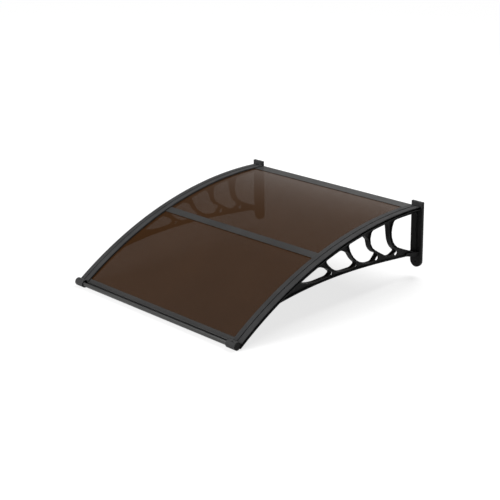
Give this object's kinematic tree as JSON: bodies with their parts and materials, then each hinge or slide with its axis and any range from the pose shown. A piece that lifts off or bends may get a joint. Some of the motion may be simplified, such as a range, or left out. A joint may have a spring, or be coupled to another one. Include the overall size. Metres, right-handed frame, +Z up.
{
  "type": "window awning",
  "caption": "Curved window awning: smoked sheet roof in a dark bar frame on ring-lattice wall brackets, with cover strips and a front gutter bar.",
  "frame": {"origin": "middle of the rear bar's flat back face, on the wall plane and midway between the brackets", "axes": "+X along the wall to the right bracket, +Y into the wall, so the roof reaches out along -Y, +Z up"},
  "size_m": [0.955, 1.025, 0.314],
  "materials": {
    "black_plastic": "satin moulded",
    "grey_aluminium": "satin dark grey coated",
    "smoked_sheet": "smooth smoked brown, see-through",
    "black_rubber": "matt",
    "dark_steel": "blackened"
  },
  "bodies": {
    "root": {"front_sheet": "smoked_sheet", "rear_sheet": "smoked_sheet", "front_bar": "grey_aluminium", "middle_bar": "grey_aluminium", "rear_bar": "grey_aluminium", "left_bracket": "black_plastic", "right_bracket": "black_plastic", "left_cover_strip": "black_plastic", "right_cover_strip": "black_plastic", "left_front_gasket": "black_rubber", "left_rear_gasket": "black_rubber", "right_front_gasket": "black_rubber", "right_rear_gasket": "black_rubber", "left_end_cap": "black_plastic", "right_end_cap": "black_plastic", "left_cap_screw": "dark_steel", "right_cap_screw": "dark_steel", "left_strip_screw_1": "dark_steel", "left_strip_screw_2": "dark_steel", "left_strip_screw_3": "dark_steel", "left_strip_screw_4": "dark_steel", "left_strip_screw_5": "dark_steel", "right_strip_screw_1": "dark_steel", "right_strip_screw_2": "dark_steel", "right_strip_screw_3": "dark_steel", "right_strip_screw_4": "dark_steel", "right_strip_screw_5": "dark_steel"}
  },
  "joints": []
}
